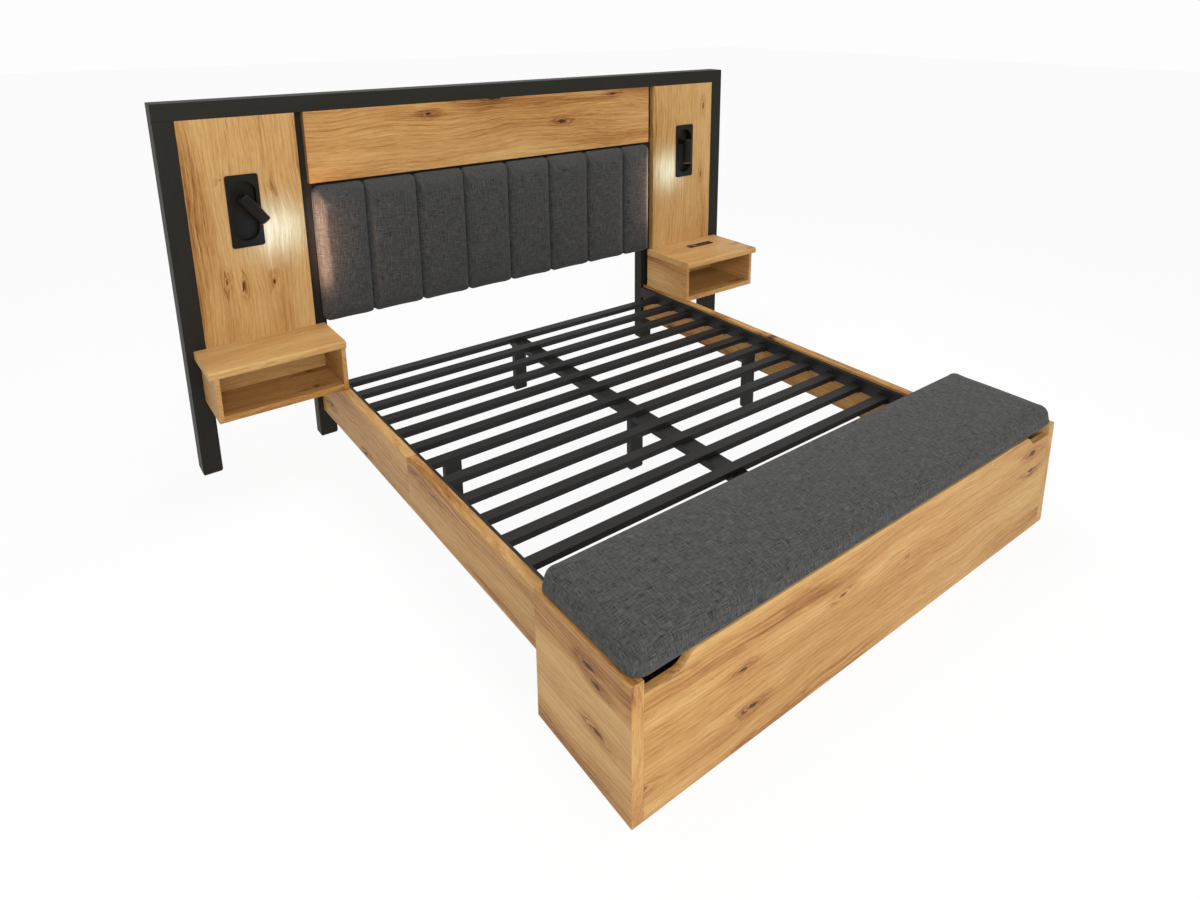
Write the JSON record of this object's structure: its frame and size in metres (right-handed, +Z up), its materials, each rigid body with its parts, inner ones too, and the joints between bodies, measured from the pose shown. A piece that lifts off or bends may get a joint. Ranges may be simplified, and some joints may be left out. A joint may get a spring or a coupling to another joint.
{
  "type": "storage bed",
  "caption": "Slatted double bed with a tall panelled headboard, channelled pad, nightstands, reading lamps and a lidded storage bench at the foot.",
  "frame": {"origin": "on the floor, in the middle of the bed's overall footprint", "axes": "+X to the right seen from the foot, +Y towards the headboard, +Z up"},
  "size_m": [3.184, 2.614, 1.684],
  "materials": {
    "oak": "oiled knotty oak",
    "plywood": "plain board",
    "black_lacquer": "matte black",
    "black_steel": "matte black powder coat",
    "lamp_black": "matte black anodised",
    "lamp_lens": "frosted, lit warm",
    "bright_steel": "zinc plated",
    "black_plastic": "matte",
    "grey_plastic": "matte",
    "pad_fabric": "dark grey linen weave",
    "bench_fabric": "heathered grey slub weave"
  },
  "bodies": {
    "bed": {"bench_back": "oak", "bench_floor": "plywood", "bench_floor_cleats": "plywood", "bench_front": "oak", "centre_beam": "black_steel", "centre_legs": "black_steel", "centre_panel": "oak", "charging_sockets": "grey_plastic", "charging_strip": "black_plastic", "headboard_pad": "pad_fabric", "hinge_fixed_leaves": "bright_steel", "hinge_pins": "bright_steel", "left_bench_end": "oak", "left_deck_rail": "black_steel", "left_inner_post": "black_lacquer", "left_lamp_plate": "lamp_black", "left_nightstand_back": "oak", "left_nightstand_floor": "oak", "left_nightstand_inner_side": "oak", "left_nightstand_outer_side": "oak", "left_nightstand_top": "oak", "left_outer_post": "black_lacquer", "left_rail_foot": "oak", "left_rail_head": "oak", "left_wing_panel": "oak", "leg_glides": "black_plastic", "lower_cross_rail": "black_lacquer", "pad_board": "plywood", "post_glides": "black_plastic", "rail_end_plates": "black_steel", "right_bench_end": "oak", "right_deck_rail": "black_steel", "right_inner_post": "black_lacquer", "right_lamp_plate": "lamp_black", "right_nightstand_back": "oak", "right_nightstand_floor": "oak", "right_nightstand_inner_side": "oak", "right_nightstand_outer_side": "oak", "right_nightstand_top": "oak", "right_outer_post": "black_lacquer", "right_rail_foot": "oak", "right_rail_head": "oak", "right_wing_panel": "oak", "side_legs": "black_steel", "slat_brackets": "black_steel", "slats": "black_steel", "top_rail": "black_lacquer", "upper_cross_rail": "black_lacquer"},
    "lid": {"lid_board": "plywood", "lid_cushion": "bench_fabric", "hinge_lid_leaves": "bright_steel"},
    "left_lamp_arm": {"left_lamp_swivel": "lamp_black"},
    "left_lamp_shade": {"left_lamp_head": "lamp_black", "left_lamp_lens": "lamp_lens", "left_lamp_pin": "bright_steel"},
    "right_lamp_arm": {"right_lamp_swivel": "lamp_black"},
    "right_lamp_shade": {"right_lamp_head": "lamp_black", "right_lamp_lens": "lamp_lens", "right_lamp_pin": "bright_steel"}
  },
  "joints": [
    {"name": "lid_hinge", "type": "hinge", "parent": "bed", "child": "lid", "pos_m": [0, -0.8427, 0.4505], "axis": [-1, 0, 0], "range_deg": [0, 80]},
    {"name": "left_lamp_swivel", "type": "hinge", "parent": "bed", "child": "left_lamp_arm", "pos_m": [-1.285, 1.169, 1.25], "axis": [0, -1, 0], "range_deg": [-155, 85]},
    {"name": "left_lamp_tilt", "type": "hinge", "parent": "left_lamp_arm", "child": "left_lamp_shade", "pos_m": [-1.285, 1.169, 1.25], "axis": [-0.8192, 0, -0.5736], "range_deg": [0, 90]},
    {"name": "right_lamp_swivel", "type": "hinge", "parent": "bed", "child": "right_lamp_arm", "pos_m": [1.285, 1.169, 1.25], "axis": [0, -1, 0], "range_deg": [-120, 120]},
    {"name": "right_lamp_tilt", "type": "hinge", "parent": "right_lamp_arm", "child": "right_lamp_shade", "pos_m": [1.285, 1.169, 1.25], "axis": [-1, 0, 0], "range_deg": [0, 90]}
  ]
}
